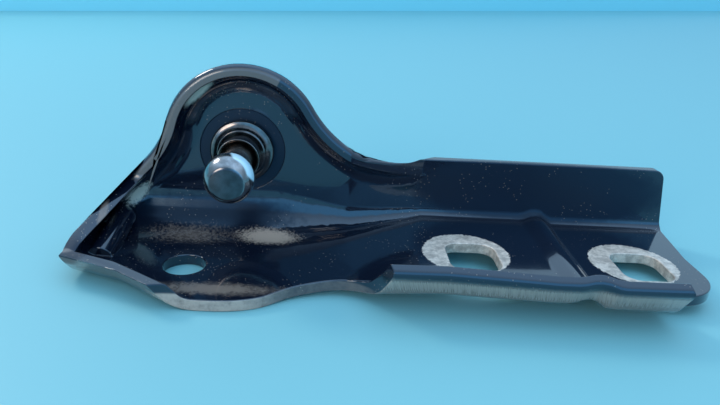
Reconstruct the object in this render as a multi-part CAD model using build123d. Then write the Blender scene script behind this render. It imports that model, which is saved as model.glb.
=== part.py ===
"""Strut bracket: one pressed sheet bracket with a riveted ball stud.

Frame: +X along the bracket towards the bolt pads, +Y from the stud's ball back to the wall,
+Z up, origin at the centre of the ball. All lengths are in millimetres.
"""
from build123d import *
from math import atan2, cos, degrees, radians, sin, sqrt, tan
import os

# Sheet and floor, with heights from the ball's centre
sheet = 2.4                # thickness of the pressed sheet
pad_z = -16.3              # top of the outer bolt pad
pad_rise = 0.85            # inner pad above the outer pad
apron_drop = 2.25          # floor under the stud, below the outer pad
apron_rise = 1.4           # floor where the rim starts to fade, above the floor under the stud
bead_rise = 2.0            # cross bead between the pads, above the outer pad
bead_x = 70.0              # crest of the bead
bead_half = 4.2            # half of the bead's foot

# Ear and wall
ear_y = 18.4               # front face of the ear plate, behind the ball's centre
wall_back = 4.3            # front face of the wall behind the ear's
ear_radius = 16.8          # outside of the dome
ear_x = 1.0                # dome's centre beside the stud
ear_z = 3.2                # dome's centre above the stud
flank_angle = 46.9         # rise of the left flank
flank_off = 12.4           # outside of the flank from the dome's centre
flare_left = 20.0          # outside radius from flank to dome
flare_right = 25.0         # outside radius from dome to saddle
saddle_z = -0.7            # lowest point of the rim beside the dome
saddle_run = 0.3           # straight part of the rim before it turns up into the wall
saddle_turn = 6.0          # radius of that turn
corner_left = 2.5          # inside radius where flank and floor meet
wall_top = -1.4            # upper edge of the wall
gusset_radius = 2.6        # rounded gusset in the corner of flank and floor
gusset_turn = (-25.7, 13.2, -15.3)   # its upper end
gusset_foot = (-26.8, 1.0, -19.0)    # its lower end, in the floor
rim_depth = 6.2            # cut edge of the rim in front of the ear's face
rim_radius = 5.0           # inside radius from ear to rim
rim_fade = 24.0            # where the rim starts to fade into the wall
bend_ear = 9.5             # inside radius from floor to ear
bend_wall = 2.0            # inside radius from floor to wall
bend_fade = 5.0            # inside radius where the rim starts to fade
bend_start = 8.0           # where the bend starts to tighten
wall_start = 42.0          # where the wall runs straight
end_x = 99.6               # right end of the wall and of the tab
end_foot = 101.8           # right end at the foot of the wall
top_start = 41.5           # left end of the wall's level upper edge
top_run = 5.5              # and the run from there up to the saddle
top_rise = 1.0
end_slant = 6.0            # where the tab's end starts to slant to the wall's foot
corner_top = 2.6           # radius of the wall's upper corner
corner_tab = 9.0           # radius of the tab's front corner

# Front lips
lip_lean = 55.0            # lip above level
lip_radius = 2.5           # inside radius of the lip's bend
lip_left = 3.0             # edge of the left lip above the floor under the stud
lip_right = 6.6            # edge of the right lip above the outer pad
lip_start = 21.5           # left end of the right lip
lip_join = -3.7            # where the flank's cut edge starts to rise from the left lip
lip_rise = 0.62            # and its slope from there back to the rim
tip_x = -33.4              # left tip
tip_front = -5.5           # front of the left tip
tip_radius = 5.0
lip_end = 87.0             # right end of the right lip
lip_slant = 0.25           # lean of that end
pads_start = 26.0          # left end of the floor behind the right lip
pads_front = -8.0          # and its front
tab_front = -10.9          # front edge of the tab beside the lip

# Openings
slot_long = 12.4           # along Y
slot_wide = 10.8           # along X
slot_corner = 3.2
slot_x = 50.6              # inner slot
slot_pitch = 36.7
slot_y = 1.2
hole_x = -9.15
hole_y = -1.5
hole_radius = 4.3

# Stud
ball_radius = 5.0
ball_flat = 3.2            # radius of the flat on the ball's end
neck_radius = 3.3
neck_root = 3.9            # neck where it meets the collar
step_radius = 5.4
step_thick = 1.3
collar_radius = 7.0
collar_thick = 1.6
seat_radius = 9.4          # coined seat round the stud
seat_depth = 0.25
neck_flare = 2.0           # length over which the neck widens to its root
shank_radius = 4.0
head_radius = 6.2          # riveted head behind the ear
head_thick = 1.8
head_side = 0.6            # slope of the head's side
head_crown = 1.2           # slope from there to its flat top
edge_break = 0.4           # broken edges of the turned parts

floor_ear = pad_z - apron_drop
floor_inner = pad_z + pad_rise
wall_y = ear_y + wall_back
flare_end = ear_x + sqrt((ear_radius + flare_right) ** 2 - (saddle_z + flare_right - ear_z) ** 2)
saddle_end = flare_end + saddle_run + saddle_turn * tan(radians(22.5))
far = 60.0
hair = 0.03                # offset that keeps two faces from lying in one plane

# Plan line where the floor turns up into the front lip
FRONT = [(-40, 3.9), (-33, 1.0), (-20, -4.2), (-9, -11.8), (0, -18.5), (12, -18.5), (18.5, -10.5),
         (23, -8.0), (32, -8.8), (42, -9.6), (62, -11.4), (81, -11.8), (110, -12.2)]
# Cut edge of the floor under the stud
NOSE = [(-17, -18), (-11.5, -15.2), (-6, -15.1), (4, -14.7), (8, -13.2), (13, -10.1), (17, -8.7),
        (20.5, -8.0), (24, -8.1), (27, -9.4), (29.6, -11.8), (31.4, -14.8), (32.8, -19)]


def between(points, x):
    """Height of a broken line at x."""
    for (x0, y0), (x1, y1) in zip(points, points[1:]):
        if x <= x1:
            return y0 + (y1 - y0) * (x - x0) / (x1 - x0)
    return points[-1][1]


BEAD = [bead_x + bead_half * s for s in (-1, -0.7, -0.3, 0, 0.3, 0.7, 1)]
CREST = [0, 0.22, 0.85, 1, 0.85, 0.22, 0]
FLOOR = [(-far, floor_ear), (bend_start, floor_ear), (rim_fade, floor_ear + apron_rise),
         (wall_start, floor_inner)]
FLOOR += [(x, (floor_inner if x <= bead_x else pad_z) * (1 - c) + (pad_z + bead_rise) * c)
          for x, c in zip(BEAD, CREST)] + [(end_x + 10, pad_z)]
BACK = [(-far, ear_y), (rim_fade, ear_y), (wall_start, wall_y), (end_x + 10, wall_y)]
BEND = [(-far, bend_ear), (bend_start, bend_ear), (rim_fade, bend_fade), (wall_start, bend_wall),
        (end_x + 10, bend_wall)]


def section(x, grow):
    """Outline across the part at x, grown outward by the sheet."""
    zf, yb, rb, yf = [between(line, x) for line in (FLOOR, BACK, BEND, FRONT)]
    a = radians(lip_lean)
    foot = Vector(x, yf, zf + lip_radius)
    heel = Vector(x, yb - rb, zf + rb)
    rf = lip_radius + grow
    rr = rb + grow
    lip = foot + Vector(0, -rf * sin(a), -rf * cos(a))
    curl = foot + Vector(0, -rf * sin(a / 2), -rf * cos(a / 2))
    corner = heel + Vector(0, rr, -rr) * sqrt(0.5)
    wall = heel + Vector(0, rr, 0)
    top = Vector(x, yb + grow, far)
    tip = Vector(x, lip.Y - (far - lip.Z) / tan(a), far)
    front_end = foot - Vector(0, 0, rf)
    back_end = heel - Vector(0, 0, rr)
    edges = [Edge.make_line(tip, lip), Edge.make_three_point_arc(lip, curl, front_end),
             Edge.make_line(front_end, back_end), Edge.make_three_point_arc(back_end, corner, wall),
             Edge.make_line(wall, top), Edge.make_line(top, tip)]
    return Face(Wire(edges))


def outline(grow):
    """Flank, dome and saddle seen from the front, grown outward by the sheet."""
    a = radians(flank_angle)
    out = grow - sheet
    up = Vector(cos(a), sin(a))
    side = Vector(-sin(a), cos(a))
    centre = Vector(ear_x, ear_z)
    radius = ear_radius + out
    off = flank_off + out
    saddle = saddle_z + out
    left = centre + side * off - up * sqrt(radius ** 2 - off ** 2)
    right = centre + Vector(sqrt(radius ** 2 - (saddle - ear_z) ** 2), saddle - ear_z)
    turn = Vector(saddle_end - out * tan(radians(22.5)), saddle)
    low = left - up * far
    edges = [Edge.make_line(low, left), Edge.make_three_point_arc(left, centre + Vector(0, radius), right)]
    rest = [right, turn, turn + Vector(far, far), Vector(3 * far, turn.Y + far), Vector(3 * far, -far),
            Vector(low.X, -far), low]
    edges += [Edge.make_line(p, q) for p, q in zip(rest, rest[1:])]
    face = Face(Wire(edges))
    for at, r in ((left, flare_left), (right, flare_right), (turn, saddle_turn)):
        face = fillet(face.vertices().sort_by_distance(at)[0], r - out)
    return face


def nook(grow):
    """Rounded corner between flank and floor, seen from the front, a hair below the floor."""
    a = radians(flank_angle)
    up = Vector(cos(a), sin(a))
    side = Vector(-sin(a), cos(a))
    centre = Vector(ear_x, ear_z) + side * (flank_off - sheet - corner_left)
    centre = centre + up * ((floor_ear + corner_left - hair - centre.Y) / sin(a))
    r = corner_left + grow
    half = a / 2 + radians(45)
    low = centre - Vector(0, r)
    end = centre + side * r
    edges = [Edge.make_line(Vector(low.X, -far), low),
             Edge.make_three_point_arc(low, centre - Vector(sin(half), cos(half)) * r, end)]
    rest = [end, end + up * 3 + side * 0.5, end + up * far + side * 2 * far, Vector(3 * far, 3 * far),
            Vector(3 * far, -far), Vector(low.X, -far)]
    edges += [Edge.make_line(p, q) for p, q in zip(rest, rest[1:])]
    return Face(Wire(edges))


def front_view(face, y0, y1):
    """Solid from a face drawn in X and Z, between two depths."""
    return extrude(Plane((0, y1, 0), x_dir=(1, 0, 0), z_dir=(0, -1, 0)) * face, y1 - y0, dir=(0, -1, 0))


def hollow(grow, slant):
    """Outline pushed back to the ear's plane, or to the slant plane beside it, with a rounded rim."""
    def plane_y(x):
        return ear_y + grow + slant * (x - rim_fade)

    back = [(x, plane_y(x)) for x in (-3 * far, 3 * far)]
    room = Polygon((3 * far, -3 * far), (-3 * far, -3 * far), *back, align=None)
    room = front_view(outline(grow), -3 * far, 2 * far) & extrude(room, 3 * far, both=True)
    rim = [e for e in room.edges() if abs((e @ 0.5).Y - plane_y((e @ 0.5).X)) < 1e-3]
    rim = [e for e in rim if (e @ 0.5).X < saddle_end and (e @ 0.5).Z > saddle_z - far / 2]
    return fillet([e for e in rim if abs((e @ 0).X - (e @ 1).X) > 0.01], rim_radius + grow)


def gusset():
    """Rod with a round upper end, lying in the corner of flank and floor."""
    down = Vector(gusset_foot) - Vector(gusset_turn)
    rod = Cylinder(gusset_radius, down.length, align=(Align.CENTER, Align.CENTER, Align.MIN))
    return Plane(gusset_turn, z_dir=down) * rod + Pos(*gusset_turn) * Sphere(gusset_radius)


def void(grow):
    """Room inside the pressing, grown outward by the sheet."""
    stations = sorted({x for line in (FLOOR, BACK, BEND, FRONT) for x, _ in line if -40 <= x})
    across = loft([section(x, grow) for x in stations], ruled=True) & front_view(nook(grow), -far, far)
    return across & (hollow(grow, 0) + hollow(grow, (wall_y - ear_y) / (wall_start - rim_fade)))


def kept():
    """Room that the cut edges of the pressing stay in."""
    rim_y = ear_y - rim_depth
    rim = Polygon((-far, rim_y), (rim_fade, rim_y), (wall_start, wall_y), (2 * far, wall_y),
                  (2 * far, far), (-far, far), align=None)
    low = floor_ear + lip_left
    high = pad_z + lip_right

    # Lip on the left, with the cut edge that rises from it to the rim
    top_y = rim_y + 1
    top = low + lip_rise * (top_y - lip_join)
    lips = Polygon((-far, -far), (-far, low), (lip_join, low), (top_y, top), (far, top), (far, -far),
                   align=None)
    lips = extrude(Plane.YZ * lips, 3 * far, both=True)

    # Lip on the right, cut square to its slope
    lean = radians(lip_lean)
    slope = 1 / tan(lean)
    edge_y = between(FRONT, wall_start) - lip_radius * sin(lean)
    edge_y -= (high - floor_inner - lip_radius) / tan(lean) + lip_radius * cos(lean)
    side = Polygon((edge_y - 20, -far), (edge_y - 20, high - 20 * slope), (edge_y, high),
                   (edge_y + 2, high + 2 * slope), (far, high + 2 * slope), (far, -far), align=None)
    side = extrude(Plane.YZ * side, 3 * far, both=True)
    turn = degrees(atan2(between(FRONT, 81) - between(FRONT, wall_start), 81 - wall_start))
    side = Pos(wall_start, 0, 0) * Rot(0, 0, turn) * Pos(-wall_start, 0, 0) * side
    ends = Polygon((lip_start, -far), (lip_start, high + 3), (lip_end - 6 * lip_slant, high + 3),
                   (lip_end, high - 3), (lip_end, -far), align=None)
    side = side & front_view(ends, -far, 0)

    pads = Polygon((pads_start, -far), (pads_start, high), (2 * far, high), (2 * far, -far), align=None)
    room = extrude(rim, far, both=True) + lips + side + front_view(pads, pads_front, far)

    rest = [NOSE[-1], (NOSE[-1][0], -far), (lip_end, -far), (lip_end, tab_front), (end_x, tab_front),
            (end_x, end_slant), (end_foot, wall_y), (end_foot, far), (tip_x, far), (tip_x, tip_front),
            NOSE[0]]
    plan = Face(Wire([Edge.make_spline(NOSE)] + [Edge.make_line(p, q) for p, q in zip(rest, rest[1:])]))
    plan = fillet(plan.vertices().sort_by_distance((end_x, tab_front, 0))[0], corner_tab)
    plan = fillet(plan.vertices().sort_by_distance((tip_x, tip_front, 0))[0], tip_radius)

    top_left = top_start - top_run
    face = Polygon((-far, -far), (end_foot, -far), (end_foot, pad_z), (end_x, wall_top),
                   (top_start, wall_top), (top_left, wall_top + top_rise), (top_left - 2, far),
                   (-far, far), align=None)
    face = fillet(face.vertices().sort_by_distance((end_x, wall_top, 0))[0], corner_top)
    return room & extrude(plan, far, both=True) & front_view(face, -far, far)


def bracket():
    """The pressing, with its openings and the coined seat."""
    body = (void(sheet) - (void(0) - gusset())) & kept()
    slot = extrude(RectangleRounded(slot_wide, slot_long, slot_corner), far, both=True)
    for x in (slot_x, slot_x + slot_pitch):
        body -= Pos(x, slot_y, 0) * slot & Pos(x, slot_y, pad_z) * Box(2 * slot_long, 2 * slot_long, 5 * sheet)
    body -= Pos(hole_x, hole_y, floor_ear) * Cylinder(hole_radius, 4 * sheet)
    along_y = Rot(-90, 0, 0)
    body -= Pos(0, ear_y + sheet / 2, 0) * along_y * Cylinder(shank_radius, 3 * sheet)
    body -= Pos(0, ear_y + seat_depth - rim_radius / 2, 0) * along_y * Cylinder(seat_radius, rim_radius)
    return body


def stud():
    """Turned ball stud, riveted behind the ear."""
    seat = ear_y + seat_depth
    flat_y = -sqrt(ball_radius ** 2 - ball_flat ** 2)
    neck_y = sqrt(ball_radius ** 2 - neck_radius ** 2)
    back = ear_y + sheet
    collar = seat - collar_thick
    step = collar - step_thick
    line = [Edge.make_line((0, flat_y), (ball_flat, flat_y)),
            Edge.make_three_point_arc((ball_flat, flat_y), (ball_radius, 0), (neck_radius, neck_y))]
    rest = [(neck_radius, neck_y), (neck_radius, step - neck_flare), (neck_root, step), (step_radius, step),
            (step_radius, collar), (collar_radius - edge_break, collar), (collar_radius, collar + edge_break),
            (collar_radius, seat), (shank_radius, seat), (shank_radius, back), (head_radius, back),
            (head_radius - head_side, back + head_thick - edge_break),
            (head_radius - head_side - head_crown, back + head_thick),
            (0, back + head_thick), (0, flat_y)]
    line += [Edge.make_line(p, q) for p, q in zip(rest, rest[1:])]
    return revolve(Face(Wire(line)), Axis.Y)


if __name__ == "__main__":
    os.makedirs("parts", exist_ok=True)
    export_step(bracket(), "parts/bracket.step")
    export_step(stud(), "parts/ball_stud.step")
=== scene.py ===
"""Strut bracket: a coated sheet-steel pressing with a riveted ball stud, on a pale plastic sheet."""
import math

import bmesh
import bpy
import numpy as np
from mathutils import Matrix, Vector


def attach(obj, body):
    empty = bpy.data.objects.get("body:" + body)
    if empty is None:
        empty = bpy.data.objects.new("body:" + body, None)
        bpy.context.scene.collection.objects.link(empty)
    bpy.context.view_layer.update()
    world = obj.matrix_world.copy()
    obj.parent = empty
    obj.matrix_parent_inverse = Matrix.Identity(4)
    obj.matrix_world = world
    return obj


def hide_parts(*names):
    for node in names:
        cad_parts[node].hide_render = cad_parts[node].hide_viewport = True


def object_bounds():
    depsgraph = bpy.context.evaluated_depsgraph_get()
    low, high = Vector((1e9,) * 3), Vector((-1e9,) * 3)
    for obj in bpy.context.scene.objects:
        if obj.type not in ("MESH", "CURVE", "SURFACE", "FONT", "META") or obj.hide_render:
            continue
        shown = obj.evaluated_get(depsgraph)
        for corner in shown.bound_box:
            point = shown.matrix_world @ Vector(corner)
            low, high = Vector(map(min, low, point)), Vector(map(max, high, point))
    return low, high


bl_info = {
    "name": "Strut Bracket",
    "version": (1, 0, 0),
    "blender": (4, 5, 0),
    "location": "View3D > Sidebar > Bracket",
    "description": "Dresses a pressed strut bracket and its ball stud",
    "category": "Object",
}

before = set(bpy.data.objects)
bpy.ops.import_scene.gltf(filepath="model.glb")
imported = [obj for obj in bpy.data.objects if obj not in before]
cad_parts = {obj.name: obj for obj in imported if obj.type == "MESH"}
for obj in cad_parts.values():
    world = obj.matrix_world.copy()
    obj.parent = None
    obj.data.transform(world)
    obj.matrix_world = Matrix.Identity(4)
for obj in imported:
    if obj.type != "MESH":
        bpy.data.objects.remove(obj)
CAD_BOX = [list(corner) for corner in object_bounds()]
MM = 0.001

# Places on the bracket, in metres from the ball's centre
PAD_Z = -16.3 * MM
RINGS = ((49.3 * MM, 2.65 * MM), (86.0 * MM, 2.55 * MM))
SEAT_RADIUS = 9.4 * MM

# The camera, fitted to the photograph
EYE = (19.36 * MM, -114.45 * MM, 42.02 * MM)
FOCAL = 616.69 / 720 * 36.0
PITCH, YAW, ROLL = (math.radians(a) for a in (21.83, 3.27, 3.79))

# Ends of the fold where the plastic sheet turns up behind the bracket
FAR_EDGE = ((-0.674, 0.154), (1.073, 1.391))
NEAR_EDGE = ((-0.9, -0.7), (1.1, -0.7))
TURN_UP = 0.15
BEHIND_PALER = 1.5
SHEET_ROUGHNESS = 0.55

# The bracket's edges
MERGE = 0.004 * MM
FLAT_ANGLE = math.radians(0.3)
SHARP_ANGLE = math.radians(38)

# The studio: heights from 0 at the bottom to 1 overhead, with their colours, and the glow in front
SKY = ((0.0, (0.16, 0.34, 0.44)), (0.50, (0.28, 0.52, 0.70)), (0.64, (0.36, 0.60, 0.80)),
       (0.85, (0.70, 1.02, 1.36)), (1.0, (0.95, 1.45, 2.00)))
FRONT_GLOW = (0.45, 1.25, 2.1)
# Lamps: name, place, size, power, colour
LAMPS = (("key", (-0.46, 0.34, 0.46), 0.20, 1.6, (1.0, 0.93, 0.84)),
         ("front", (-0.34, -0.56, 0.22), 0.30, 1.9, (1.0, 0.76, 0.56)))
LAMP_AIM = (0.03, 0, 0)


class BracketFinish(bpy.types.PropertyGroup):
    """Colours and wear of the pressing."""
    coat: bpy.props.FloatVectorProperty(name="Coat", description="Colour of the dip coat",
                                        subtype="COLOR", size=3, min=0, max=1,
                                        default=(0.004, 0.007, 0.016))
    zinc: bpy.props.FloatVectorProperty(name="Zinc", description="Colour of the bare zinc",
                                        subtype="COLOR", size=3, min=0, max=1, default=(0.74, 0.65, 0.56))
    ring: bpy.props.FloatProperty(name="Ring", description="Radius of the bare ring that a flange leaves",
                                  default=9.35 * MM, unit="LENGTH")
    edge: bpy.props.FloatProperty(name="Edge", description="Rounding of the outer cut edges",
                                  default=1.35 * MM, unit="LENGTH")
    inner: bpy.props.FloatProperty(name="Inner", description="Rounding of other edges, as a share of Edge",
                                   default=0.2, min=0, max=1)
    # Also the colour of the painted highlights behind the rim.
    scuff_and_painted_highlight: bpy.props.FloatVectorProperty(name="Scuff", description="Colour of scuffs and raw cut edges",
                                         subtype="COLOR", size=3, min=0, max=1,
                                         default=(0.78, 0.66, 0.54))
    # Also the colour of the painted sheen on the bend and the flank.
    dirt_and_painted_sheen: bpy.props.FloatVectorProperty(name="Dirt", description="Colour of the dust and of worn lips",
                                        subtype="COLOR", size=3, min=0, max=1,
                                        default=(0.34, 0.275, 0.22))
    dust: bpy.props.FloatProperty(name="Dust", description="How much dust lies in the bends", default=1.0,
                                  min=0, max=1, subtype="FACTOR")


class StudFinish(bpy.types.PropertyGroup):
    """Colour of the ball stud."""
    steel: bpy.props.FloatVectorProperty(name="Steel", description="Colour of the stud's dark steel",
                                         subtype="COLOR", size=3, min=0, max=1, default=(0.34, 0.35, 0.37))


class StageLook(bpy.types.PropertyGroup):
    """The sheet that the bracket lies on, and its light."""
    sheet: bpy.props.FloatVectorProperty(name="Sheet", description="Colour of the plastic sheet",
                                         subtype="COLOR", size=3, min=0, max=1,
                                         default=(0.195, 0.475, 0.515))


def node(tree, kind, inputs=(), **fields):
    """A new node of that kind, its fields set, and its inputs set or linked in order or by name."""
    made = tree.nodes.new(kind)
    for name, value in fields.items():
        setattr(made, name, value)
    pairs = inputs.items() if isinstance(inputs, dict) else enumerate(inputs)
    for key, value in pairs:
        if value is None:
            continue
        if isinstance(value, bpy.types.NodeSocket):
            tree.links.new(value, made.inputs[key])
        else:
            made.inputs[key].default_value = value
    return made


def maths(tree, operation, *values, clamp=False):
    """The result of one Math node."""
    return node(tree, "ShaderNodeMath", values, operation=operation, use_clamp=clamp).outputs[0]


def mix_colour(tree, share, a, b, blend="MIX"):
    """a turned towards b by share."""
    made = node(tree, "ShaderNodeMix", data_type="RGBA", blend_type=blend)
    for socket, value in ((made.inputs[0], share), (made.inputs[6], a), (made.inputs[7], b)):
        if isinstance(value, bpy.types.NodeSocket):
            tree.links.new(value, socket)
        else:
            socket.default_value = value if isinstance(value, float) else (*value, 1.0)
    return made.outputs[2]


def ramp(tree, value, low, high, smooth=True):
    """0 at low to 1 at high, with soft ends."""
    kind = "SMOOTHSTEP" if smooth else "LINEAR"
    made = node(tree, "ShaderNodeMapRange", [value, low, high, 0.0, 1.0], interpolation_type=kind)
    return made.outputs[0]


def window(tree, value, low, high, soft):
    """1 between low and high, 0 outside, with soft ends."""
    rise = ramp(tree, value, low - soft, low + soft)
    return maths(tree, "MULTIPLY", rise, ramp(tree, value, high + soft, high - soft))


def both(tree, first, *others):
    """Masks multiplied together."""
    for other in others:
        first = maths(tree, "MULTIPLY", first, other)
    return first


def most(tree, first, *others):
    """The highest of several masks."""
    for other in others:
        first = maths(tree, "MAXIMUM", first, other)
    return first


def group(name, inputs, outputs):
    """An empty node group with named sockets, and its two end nodes."""
    tree = bpy.data.node_groups.new(name, "ShaderNodeTree")
    for label, kind, default in inputs:
        socket = tree.interface.new_socket(name=label, in_out="INPUT", socket_type=kind)
        socket.default_value = default
    for label, kind in outputs:
        tree.interface.new_socket(name=label, in_out="OUTPUT", socket_type=kind)
    return tree, tree.nodes.new("NodeGroupInput"), tree.nodes.new("NodeGroupOutput")


def patch_group():
    """A soft oval spot: 1 - |(place - centre) / reach|, from 0 to 1 and broken up by a fine noise."""
    tree, start, end = group("Oval Patch", [("Centre", "NodeSocketVector", (0, 0, 0)),
                                            ("Reach", "NodeSocketVector", (1, 1, 1)),
                                            ("Turn", "NodeSocketFloat", 0.0),
                                            ("Edge", "NodeSocketFloat", 0.4),
                                            ("Grain", "NodeSocketFloat", 900.0),
                                            ("Broken", "NodeSocketFloat", 0.5)],
                             [("Mask", "NodeSocketFloat")])
    place = node(tree, "ShaderNodeTexCoord").outputs["Object"]
    away = node(tree, "ShaderNodeVectorMath", [place, start.outputs["Centre"]],
                operation="SUBTRACT").outputs[0]
    away = node(tree, "ShaderNodeVectorRotate", {"Vector": away, "Angle": start.outputs["Turn"]},
                rotation_type="Y_AXIS").outputs[0]
    share = node(tree, "ShaderNodeVectorMath", [away, start.outputs["Reach"]], operation="DIVIDE").outputs[0]
    far = node(tree, "ShaderNodeVectorMath", [share], operation="LENGTH").outputs["Value"]
    noise = node(tree, "ShaderNodeTexNoise", {"Vector": place, "Scale": start.outputs["Grain"], "Detail": 4.0,
                                              "Roughness": 0.7}).outputs[0]
    swing = maths(tree, "MULTIPLY", maths(tree, "SUBTRACT", noise, 0.5), start.outputs["Broken"])
    inside = maths(tree, "ADD", maths(tree, "SUBTRACT", 1.0, far), swing)
    tree.links.new(ramp(tree, inside, 0.0, start.outputs["Edge"]), end.inputs[0])
    return tree


def ring_group():
    """The ragged bare disc that a bolt's flange leaves: its radius, less the distance from its centre."""
    tree, start, end = group("Flange Mark", [("Centre", "NodeSocketVector", (0, 0, 0)),
                                             ("Radius", "NodeSocketFloat", 9.35 * MM),
                                             ("Ragged", "NodeSocketFloat", 1.8 * MM)],
                             [("Mask", "NodeSocketFloat")])
    place = node(tree, "ShaderNodeTexCoord").outputs["Object"]
    away = node(tree, "ShaderNodeVectorMath", [place, start.outputs["Centre"]],
                operation="SUBTRACT").outputs[0]
    flat = node(tree, "ShaderNodeVectorMath", [away, (1, 1, 0)], operation="MULTIPLY").outputs[0]
    far = node(tree, "ShaderNodeVectorMath", [flat], operation="LENGTH").outputs["Value"]
    noise = node(tree, "ShaderNodeTexNoise", {"Vector": place, "Scale": 1400.0, "Detail": 5.0,
                                              "Roughness": 0.75}).outputs[0]
    edge = maths(tree, "MULTIPLY_ADD", maths(tree, "SUBTRACT", noise, 0.5), start.outputs["Ragged"],
                 maths(tree, "SUBTRACT", start.outputs["Radius"], far))
    tree.links.new(ramp(tree, edge, 0.0, 0.12 * MM), end.inputs[0])
    return tree


def speck_group():
    """Fine specks: cells of a Voronoi pattern whose centres are near, thinned by a cloud of noise."""
    tree, start, end = group("Specks", [("Scale", "NodeSocketFloat", 900.0),
                                        ("Size", "NodeSocketFloat", 0.16),
                                        ("Share", "NodeSocketFloat", 0.5)], [("Mask", "NodeSocketFloat")])
    place = node(tree, "ShaderNodeTexCoord").outputs["Object"]
    cells = node(tree, "ShaderNodeTexVoronoi", {"Vector": place, "Scale": start.outputs["Scale"]})
    cloud = node(tree, "ShaderNodeTexNoise", {"Vector": place, "Scale": 90.0, "Detail": 3.0}).outputs[0]
    near = maths(tree, "LESS_THAN", cells.outputs["Distance"], start.outputs["Size"])
    some = maths(tree, "GREATER_THAN", cloud, maths(tree, "SUBTRACT", 1.0, start.outputs["Share"]))
    tree.links.new(maths(tree, "MULTIPLY", near, some), end.inputs[0])
    return tree


def use(tree, made, **inputs):
    """A node group placed in a material, its inputs set by name."""
    placed = node(tree, "ShaderNodeGroup", node_tree=made)
    for name, value in inputs.items():
        socket = placed.inputs[name]
        if isinstance(value, bpy.types.NodeSocket):
            tree.links.new(value, socket)
        else:
            socket.default_value = value
    return placed


def material(name):
    """A new material with its shader."""
    made = bpy.data.materials.new(name)
    made.use_nodes = True
    return made, made.node_tree, made.node_tree.nodes["Principled BSDF"]


# Spots of dust; the first, second and last, on the bend and the flank, are also a painted sheen standing in
# for highlights: centre, reach, turn about Y in degrees, soft edge, grain, how broken, strength
DUST_AND_PAINTED_SHEEN = (
    ((6.4, 11.8, -17.9), (9.0, 3.3, 3.0), -6, 0.6, 2200, 1.5, 1.0),
    ((-11.0, 11.4, -17.9), (12.5, 4.2, 3.0), 0, 0.9, 1500, 2.6, 0.32),
    ((-1.5, -10.9, -18.5), (15.5, 3.1, 1.6), 0, 0.8, 800, 1.0, 0.45),
    ((-26.7, 6.5, -11.6), (1.3, 6.0, 3.4), 0, 0.4, 900, 0.3, 0.4),
)
# Painted highlights on the fillet and the flank behind the rim, laid in as bright patches, in the same order
PAINTED_HIGHLIGHTS = (
    ((-8.9, 15.4, 13.0), (5.6, 3.2, 1.5), 43, 0.6, 900, 0.5, 1.0),
    ((-23.2, 17.0, -11.0), (4.8, 3.0, 1.8), 47, 0.6, 1700, 1.2, 1.0),
)
# Places where the coat is dull: centre, reach, soft edge, grain, how broken
CORNER_DULL = ((-7, 15.5, -14.5), (25, 6.5, 6), 0.5, 500.0, 0.8)
WALL_DULL = ((70, 22.7, -8), (36, 2, 11), 0.3, 300.0, 0.2)
TIP_DULL = ((-31.5, -4.5, -15.5), (5, 6, 3), 0.4, 300.0, 0.2)


def dull_place(tree, patch, centre, reach, edge, grain, broken):
    """The mask of one dull place."""
    placed = use(tree, patch, Centre=tuple(c * MM for c in centre), Reach=tuple(r * MM for r in reach),
                 Edge=edge, Grain=grain, Broken=broken)
    return placed.outputs[0]


def cut_masks(tree, place, normal, streak):
    """Where the bare cut edges and the rubbed outsides of the lips lie: rim, nose, right lip, left lip."""
    x, y, z = (place[i] for i in range(3))
    nx, ny, nz = (normal[i] for i in range(3))
    facing = ramp(tree, ny, -0.75, -0.93)
    rim = both(tree, facing, ramp(tree, y, 12.7 * MM, 12.4 * MM), ramp(tree, z, -9 * MM, -6 * MM),
               ramp(tree, maths(tree, "MULTIPLY_ADD", z, -0.5, x), 0.2 * MM, -0.2 * MM))
    level = ramp(tree, maths(tree, "ABSOLUTE", nz), 0.75, 0.45)
    nose = both(tree, level, ramp(tree, y, -5 * MM, -6 * MM), window(tree, x, -13 * MM, 29 * MM, 2 * MM),
                ramp(tree, z, -17.2 * MM, -17.8 * MM))
    outside = both(tree, ramp(tree, nz, -0.1, -0.3), ramp(tree, ny, -0.35, -0.55))
    ragged = maths(tree, "MULTIPLY_ADD", streak, -0.3 * MM, z)
    right = both(tree, outside, ramp(tree, x, 20 * MM, 22 * MM), ramp(tree, ragged, -11.9 * MM, -13.7 * MM),
                 maths(tree, "MULTIPLY_ADD", ramp(tree, z, -18 * MM, -13 * MM), 0.5, 0.5))
    left = both(tree, outside, ramp(tree, x, -11 * MM, -14 * MM), ramp(tree, y, 0, -2 * MM),
                ramp(tree, z, -18.8 * MM, -17.8 * MM))
    return rim, nose, right, left


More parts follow.
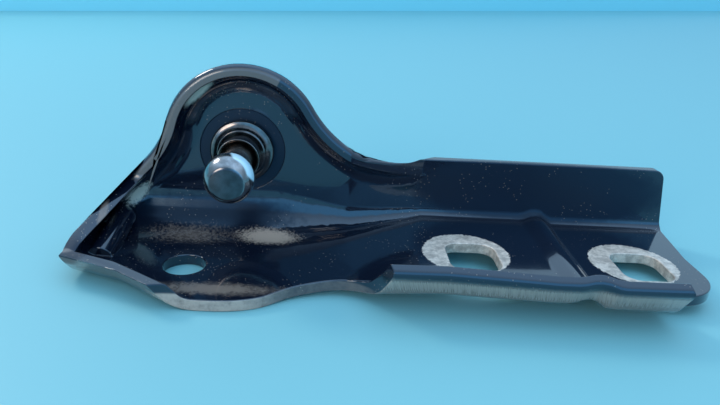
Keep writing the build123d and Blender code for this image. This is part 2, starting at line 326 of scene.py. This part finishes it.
def coat_material(finish):
    """Glossy black dip coat, dust-marked and rubbed in places and worn to the zinc round the bolt slots, with
    painted highlights behind the rim and a painted sheen on the bend and the flank.
    """
    made, tree, shader = material("black coat")
    patch, ring, specks = patch_group(), ring_group(), speck_group()
    spots = node(tree, "ShaderNodeTexCoord")
    place = spots.outputs["Object"]
    axes = node(tree, "ShaderNodeSeparateXYZ", [place]).outputs
    z = axes[2]
    marks = [use(tree, ring, Centre=(x, y, 0), Radius=finish.ring) for x, y in RINGS]
    bare = most(tree, marks[0].outputs[0], marks[1].outputs[0])
    bare = both(tree, bare, maths(tree, "LESS_THAN", z, PAD_Z + 1.2 * MM))
    # Spots of dust and painted sheen, and the painted highlights behind the rim
    dust, painted_highlights = ([both(tree, use(tree, patch, Centre=tuple(c * MM for c in centre),
                                    Reach=tuple(r * MM for r in reach), Turn=math.radians(turn), Edge=edge,
                                    Grain=float(grain), Broken=broken).outputs[0], share)
                     for centre, reach, turn, edge, grain, broken, share in rows]
                    for rows in (DUST_AND_PAINTED_SHEEN, PAINTED_HIGHLIGHTS))
    lean = maths(tree, "MULTIPLY_ADD", z, 0.3, axes[0])
    long = node(tree, "ShaderNodeCombineXYZ", [lean, 0.0, maths(tree, "MULTIPLY", z, 0.06)]).outputs[0]
    streak = node(tree, "ShaderNodeTexNoise", {"Vector": long, "Scale": 5200.0, "Detail": 3.0}).outputs[0]
    streak = ramp(tree, streak, 0.30, 0.70)
    facing = node(tree, "ShaderNodeSeparateXYZ", [spots.outputs["Normal"]]).outputs
    rim, nose, right, left = cut_masks(tree, axes, facing, streak)
    fine = both(tree, use(tree, specks, Scale=1300.0, Size=0.13, Share=0.47).outputs[0], 0.6 * finish.dust)
    worn = most(tree, both(tree, left, 0.3), both(tree, rim, 0.32))
    # Dust, worn lips and specks, with the painted sheen on the bend and the flank
    dusty_and_painted_sheen = most(tree, worn, fine, *dust)
    # Painted highlights behind the rim, then the raw nose edge and the rubbed right lip join them
    worn_and_painted_highlight = most(tree, *painted_highlights)
    cloud = node(tree, "ShaderNodeTexNoise", {"Vector": place, "Scale": 520.0, "Detail": 8.0,
                                              "Roughness": 0.7}).outputs[0]
    raw = both(tree, nose, maths(tree, "MULTIPLY_ADD", ramp(tree, cloud, 0.3, 0.6), 0.22, 0.26),
               maths(tree, "MULTIPLY_ADD", ramp(tree, axes[0], 14 * MM, 4 * MM), 0.75, 0.25))
    worn_and_painted_highlight = most(tree, worn_and_painted_highlight, raw, both(tree, right, maths(tree, "MULTIPLY_ADD", streak, 0.16, 0.34)))
    darker = tuple(0.5 * c for c in finish.zinc)
    zinc = mix_colour(tree, ramp(tree, cloud, 0.35, 0.65), tuple(finish.zinc), darker)
    flat = node(tree, "ShaderNodeCombineXYZ", [axes[0], 0.0, z]).outputs[0]
    off = node(tree, "ShaderNodeVectorMath", [flat], operation="LENGTH").outputs["Value"]
    seat = both(tree, ramp(tree, off, SEAT_RADIUS + 0.2 * MM, SEAT_RADIUS - 0.1 * MM),
                window(tree, axes[1], 18.2 * MM, 18.9 * MM, 0.1 * MM))
    colour = mix_colour(tree, dusty_and_painted_sheen, tuple(finish.coat), tuple(finish.dirt_and_painted_sheen))
    # Raw edges, rubbed lips and painted highlights take the pale colour
    colour = mix_colour(tree, worn_and_painted_highlight, colour, tuple(finish.scuff_and_painted_highlight))
    colour = mix_colour(tree, bare, colour, zinc)
    tree.links.new(colour, shader.inputs["Base Color"])
    tree.links.new(both(tree, bare, 0.3), shader.inputs["Metallic"])
    dull = dull_place(tree, patch, *CORNER_DULL)
    rough = maths(tree, "MULTIPLY_ADD", most(tree, dusty_and_painted_sheen, worn_and_painted_highlight, both(tree, dull, 0.25)), 0.5, 0.12)
    rough = maths(tree, "MULTIPLY_ADD", seat, 0.3, rough)
    hazy = most(tree, dull_place(tree, patch, *WALL_DULL), dull_place(tree, patch, *TIP_DULL))
    rough = maths(tree, "MULTIPLY_ADD", hazy, 0.28, rough)
    tree.links.new(maths(tree, "MULTIPLY_ADD", bare, 0.3, rough), shader.inputs["Roughness"])
    clear = maths(tree, "SUBTRACT", 1.0, most(tree, bare, seat, dusty_and_painted_sheen, worn_and_painted_highlight, dull, hazy), clamp=True)
    tree.links.new(clear, shader.inputs["Coat Weight"])
    shader.inputs["IOR"].default_value = 1.5
    # Painted reflection colour: the base layer's reflections are tinted blue, a painted blue cast standing in
    # for blue sky
    shader.inputs["Specular Tint"].default_value = (0.45, 0.72, 1.0, 1.0)
    shader.inputs["Coat Roughness"].default_value = 0.04
    shader.inputs["Coat IOR"].default_value = 1.5
    peel = node(tree, "ShaderNodeTexNoise", {"Vector": place, "Scale": 170.0, "Detail": 3.0}).outputs[0]
    bump = node(tree, "ShaderNodeBump", {"Height": peel, "Strength": 0.10, "Distance": 0.5 * MM})
    tree.links.new(bump.outputs[0], shader.inputs["Normal"])
    return made


def stud_material(finish):
    """Dark steel with a thin coat, and a painted reflection: a pale blue, non-metallic crescent on the ball's
    upper right.
    """
    made, tree, shader = material("dark steel")
    place = node(tree, "ShaderNodeTexCoord").outputs["Object"]
    cloud = node(tree, "ShaderNodeTexNoise", {"Vector": place, "Scale": 500.0, "Detail": 5.0}).outputs[0]
    y = node(tree, "ShaderNodeSeparateXYZ", [place]).outputs[1]
    red, green, blue = finish.steel
    warmer = (red, 0.88 * green, 0.78 * blue)
    collar = (0.45 * red, 0.42 * green, 0.40 * blue)
    flat = (0.2 * red, 0.22 * green, 0.26 * blue)
    steel = mix_colour(tree, ramp(tree, y, 3.5 * MM, 6.5 * MM), (red, green, blue), warmer)
    steel = mix_colour(tree, ramp(tree, y, 15.0 * MM, 15.6 * MM), steel, collar)
    steel = mix_colour(tree, ramp(tree, y, -3.60 * MM, -3.74 * MM), steel, flat)
    # Painted reflection: a pale blue crescent on the ball's upper right, placed by the direction from the
    # ball's centre, where the steel is made pale blue and not metallic
    facing = node(tree, "ShaderNodeVectorMath", [place], operation="NORMALIZE").outputs[0]
    tilt, side = (node(tree, "ShaderNodeVectorMath", [facing, axis], operation="DOT_PRODUCT").outputs["Value"]
                  for axis in ((0.0, -0.93, 0.37), (0.75, 0.22, 0.62)))
    painted_crescent = both(tree, ramp(tree, tilt, 0.70, 0.60), ramp(tree, tilt, 0.1, 0.2), ramp(tree, side, 0.62, 0.72),
                 ramp(tree, y, 4 * MM, 3 * MM))
    colour = mix_colour(tree, ramp(tree, cloud, 0.3, 0.7), steel, (0.5, 0.5, 0.5), blend="MULTIPLY")
    colour = mix_colour(tree, painted_crescent, colour, (0.55, 0.78, 0.88))
    tree.links.new(maths(tree, "SUBTRACT", 1.0, painted_crescent), shader.inputs["Metallic"])
    tree.links.new(colour, shader.inputs["Base Color"])
    shader.inputs["Roughness"].default_value = 0.2
    shader.inputs["IOR"].default_value = 1.8
    shader.inputs["Coat Weight"].default_value = 0.6
    shader.inputs["Coat Roughness"].default_value = 0.08
    return made


def rounding(edge, inner):
    """Share of the full rounding that an edge gets: all of it outside the rim and under the right lip."""
    x, y, z = (edge.verts[0].co + edge.verts[1].co) / 2 / MM
    if math.hypot(x, z) < 10 and y > 17:
        return 0.1
    inner *= min(max((x + 31) / 3, 0), 1)
    first, second = (face.normal for face in edge.link_faces)
    for cut, side in ((first, second), (second, first)):
        if cut.y < -0.35 and side.z > 0.3 and y > 3:
            share = min((y - 3) / 8, (37 - x) / 8, 1)
            return inner + (1 - inner) * max(share, 0)
        if cut.z > 0.3 and side.z < -0.3 and y < -8 and x > 22:
            return inner + (1 - inner) * max(min((x - 22) / 6, (87 - x) / 3, 1), 0)
    return inner


def soft_copy(name, label, width, inner):
    """A merged copy of a CAD node, its cut edges rounded and its shading carried across shallow bends."""
    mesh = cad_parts[name].data.copy()
    mesh.name = label
    work = bmesh.new()
    work.from_mesh(mesh)
    bmesh.ops.remove_doubles(work, verts=work.verts, dist=MERGE)
    bmesh.ops.dissolve_limit(work, angle_limit=FLAT_ANGLE, verts=work.verts, edges=work.edges)
    for face in work.faces:
        face.smooth = True
    weight = work.edges.layers.float.new("bevel_weight_edge")
    for edge in work.edges:
        if edge.calc_face_angle(0.0) > SHARP_ANGLE:
            edge[weight] = rounding(edge, inner)
    work.to_mesh(mesh)
    work.free()
    piece = bpy.data.objects.new(label, mesh)
    bpy.context.scene.collection.objects.link(piece)
    bevel = piece.modifiers.new("edges", "BEVEL")
    bevel.limit_method, bevel.width, bevel.segments = "WEIGHT", width, 5
    # Unclamped, it throws a few thin spikes out where the width changes along an acute edge
    bevel.use_clamp_overlap = False
    normals = piece.modifiers.new("shading", "WEIGHTED_NORMAL")
    normals.keep_sharp, normals.weight = False, 60
    return piece


def arc(centre, radius, start, stop, count=8):
    """Points of an arc, angles in degrees from the stud's axis."""
    turn = np.radians(np.linspace(start, stop, count))
    return np.column_stack((centre[0] + radius * np.sin(turn), centre[1] - radius * np.cos(turn)))


def stud_profile():
    """Half outline of the stud, radius and place along +Y, from the ball's flat to the riveted head."""
    ball, flat, neck = 5.0, 3.2, 3.3
    face = math.degrees(math.asin(flat / ball))
    root = 180 - math.degrees(math.asin(neck / ball))
    seat = 18.65
    # The second arc runs back towards the ball and folds the neck over; 270 to 210 would flare it to the step
    parts = [[(0, -3.78), (flat - 0.35, -3.80)], arc((0, 0), ball, face + 3, root, 40),
             arc((neck + 2.4, 13.75), 2.4, 270, 330, 10),
             [(4.6, 15.72), (5.2, 15.74), (5.4, 15.95), (5.4, 17.0), (6.7, 17.06), (7.0, 17.35), (7.0, seat)],
             [(4.0, seat), (4.0, 20.85), (6.2, 20.85), (6.15, 21.6), (5.5, 22.2), (4.2, 22.55), (0, 22.6)]]
    return np.concatenate([np.array(p, float) for p in parts]) * MM


def lathe(label, outline, count=128):
    """The outline carried round the Y axis: (r sin t, y, r cos t) on a grid of t and the outline's points."""
    turn = np.linspace(0, 2 * np.pi, count, endpoint=False)
    radius, along = outline[:, 0], outline[:, 1]
    across, up = np.outer(np.sin(turn), radius), np.outer(np.cos(turn), radius)
    grid = np.stack((across, np.tile(along, (count, 1)), up), 2)
    rows = len(outline)
    a = (np.arange(count)[:, None] * rows + np.arange(rows - 1)).ravel()
    b = (a + rows) % (count * rows)
    mesh = bpy.data.meshes.new(label)
    mesh.from_pydata(grid.reshape(-1, 3), [], np.column_stack((a, a + 1, b + 1, b)).tolist())
    work = bmesh.new()
    work.from_mesh(mesh)
    bmesh.ops.remove_doubles(work, verts=work.verts, dist=0.001 * MM)
    bmesh.ops.recalc_face_normals(work, faces=work.faces)
    for part in work.faces:
        part.smooth = True
    work.to_mesh(mesh)
    work.free()
    piece = bpy.data.objects.new(label, mesh)
    bpy.context.scene.collection.objects.link(piece)
    piece.modifiers.new("shading", "WEIGHTED_NORMAL").keep_sharp = False
    return piece


class BRACKET_OT_pressing(bpy.types.Operator):
    """Finish the pressing"""
    bl_idname = "bracket.pressing"
    bl_label = "Pressing"

    def execute(self, context):
        finish = context.scene.bracket_finish
        piece = soft_copy("bracket", "pressing", finish.edge, finish.inner)
        piece.data.materials.clear()
        piece.data.materials.append(coat_material(finish))
        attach(piece, "root")
        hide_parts("bracket")
        return {"FINISHED"}


class BRACKET_OT_stud(bpy.types.Operator):
    """Finish the ball stud"""
    bl_idname = "bracket.stud"
    bl_label = "Ball Stud"

    def execute(self, context):
        finish = context.scene.stud_finish
        piece = lathe("turned_stud", stud_profile())
        piece.data.materials.append(stud_material(finish))
        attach(piece, "root")
        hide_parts("ball_stud")
        return {"FINISHED"}


def camera():
    """The photograph's camera."""
    data = bpy.data.cameras.new("camera")
    data.lens, data.sensor_width = FOCAL, 36.0
    data.clip_start = 0.005
    made = bpy.data.objects.new("camera", data)
    ahead = Vector((math.sin(YAW) * math.cos(PITCH), math.cos(YAW) * math.cos(PITCH), -math.sin(PITCH)))
    right = Vector((math.cos(YAW), -math.sin(YAW), 0))
    down = ahead.cross(right)
    across = math.cos(ROLL) * right - math.sin(ROLL) * down
    drop = math.sin(ROLL) * right + math.cos(ROLL) * down
    turn = Matrix((across, -drop, -ahead)).transposed().to_4x4()
    made.matrix_world = Matrix.Translation(EYE) @ turn
    bpy.context.scene.collection.objects.link(made)
    bpy.context.scene.camera = made


def lamp(name, place, aim, size, power, colour):
    """A soft round lamp."""
    data = bpy.data.lights.new(name, "AREA")
    data.shape, data.size, data.energy, data.color = "DISK", size, power, colour
    made = bpy.data.objects.new(name, data)
    made.location = place
    made.rotation_euler = (Vector(aim) - Vector(place)).to_track_quat("-Z", "Y").to_euler()
    bpy.context.scene.collection.objects.link(made)


def sky():
    """A plain studio: pale blue overhead, dimmer low down, a blue glow in front and a shade on its left."""
    world = bpy.data.worlds.new("studio")
    bpy.context.scene.world = world
    world.use_nodes = True
    tree = world.node_tree
    back = tree.nodes["Background"]
    way = node(tree, "ShaderNodeSeparateXYZ", [node(tree, "ShaderNodeTexCoord").outputs["Generated"]]).outputs
    colours = node(tree, "ShaderNodeValToRGB", [ramp(tree, way[2], -1.0, 1.0, smooth=False)])
    band = colours.color_ramp
    while len(band.elements) < len(SKY):
        band.elements.new(0.5)
    for element, (at, colour) in zip(band.elements, SKY):
        element.position, element.color = at, (*colour, 1.0)
    shade = both(tree, ramp(tree, way[0], 0.12, -0.12), ramp(tree, way[1], -0.12, -0.35),
                 ramp(tree, way[2], 0.1, 0.4))
    level = maths(tree, "MULTIPLY_ADD", shade, -0.4, 1.0)
    tree.links.new(level, back.inputs[1])
    front = both(tree, ramp(tree, way[1], -0.45, -0.75), window(tree, way[2], 0.05, 0.6, 0.08))
    colour = mix_colour(tree, front, colours.outputs[0], FRONT_GLOW)
    tree.links.new(colour, back.inputs[0])


class BRACKET_OT_stage(bpy.types.Operator):
    """Lay the plastic sheet, the light and the camera"""
    bl_idname = "bracket.stage"
    bl_label = "Stage"

    def execute(self, context):
        look = context.scene.stage_look
        low = CAD_BOX[0][2]
        made, _, shader = material("plastic sheet")
        shader.inputs["Base Color"].default_value = (*look.sheet, 1.0)
        shader.inputs["Roughness"].default_value = SHEET_ROUGHNESS
        mesh = bpy.data.meshes.new("sheet")
        left, right = FAR_EDGE
        near_left, near_right = NEAR_EDGE
        mesh.from_pydata([(*near_left, low), (*near_right, low), (*right, low), (*left, low),
                          (*right, low + TURN_UP), (*left, low + TURN_UP)], [], [(0, 1, 2, 3), (3, 2, 4, 5)])
        mesh.materials.append(made)
        behind, _, shader = material("plastic sheet behind")
        shader.inputs["Base Color"].default_value = (*(BEHIND_PALER * c for c in look.sheet), 1.0)
        shader.inputs["Roughness"].default_value = SHEET_ROUGHNESS
        mesh.materials.append(behind)
        mesh.polygons[1].material_index = 1
        floor = bpy.data.objects.new("plastic_sheet", mesh)
        context.scene.collection.objects.link(floor)
        sky()
        for name, place, size, power, colour in LAMPS:
            lamp(name, place, LAMP_AIM, size, power, colour)
        camera()
        context.scene.view_settings.view_transform = "Standard"
        return {"FINISHED"}


class BRACKET_PT_panel(bpy.types.Panel):
    """Sizes, colours and steps of the bracket"""
    bl_idname = "BRACKET_PT_panel"
    bl_label = "Strut Bracket"
    bl_space_type = "VIEW_3D"
    bl_region_type = "UI"
    bl_category = "Bracket"

    def draw(self, context):
        for name in ("bracket_finish", "stud_finish", "stage_look"):
            settings = getattr(context.scene, name)
            box = self.layout.box()
            for field in settings.bl_rna.properties.keys():
                if field not in ("rna_type", "name"):
                    box.prop(settings, field)
        for step in STEPS:
            self.layout.operator(step.bl_idname)


STEPS = (BRACKET_OT_pressing, BRACKET_OT_stud, BRACKET_OT_stage)
GROUPS = {"bracket_finish": BracketFinish, "stud_finish": StudFinish, "stage_look": StageLook}


def register():
    for made in (*GROUPS.values(), *STEPS, BRACKET_PT_panel):
        bpy.utils.register_class(made)
    for name, made in GROUPS.items():
        setattr(bpy.types.Scene, name, bpy.props.PointerProperty(type=made))


def unregister():
    for name in GROUPS:
        delattr(bpy.types.Scene, name)
    for made in reversed((*GROUPS.values(), *STEPS, BRACKET_PT_panel)):
        bpy.utils.unregister_class(made)


def main():
    register()
    for step in STEPS:
        area, name = step.bl_idname.split(".")
        getattr(getattr(bpy.ops, area), name)()


if __name__ == "__main__":
    main()
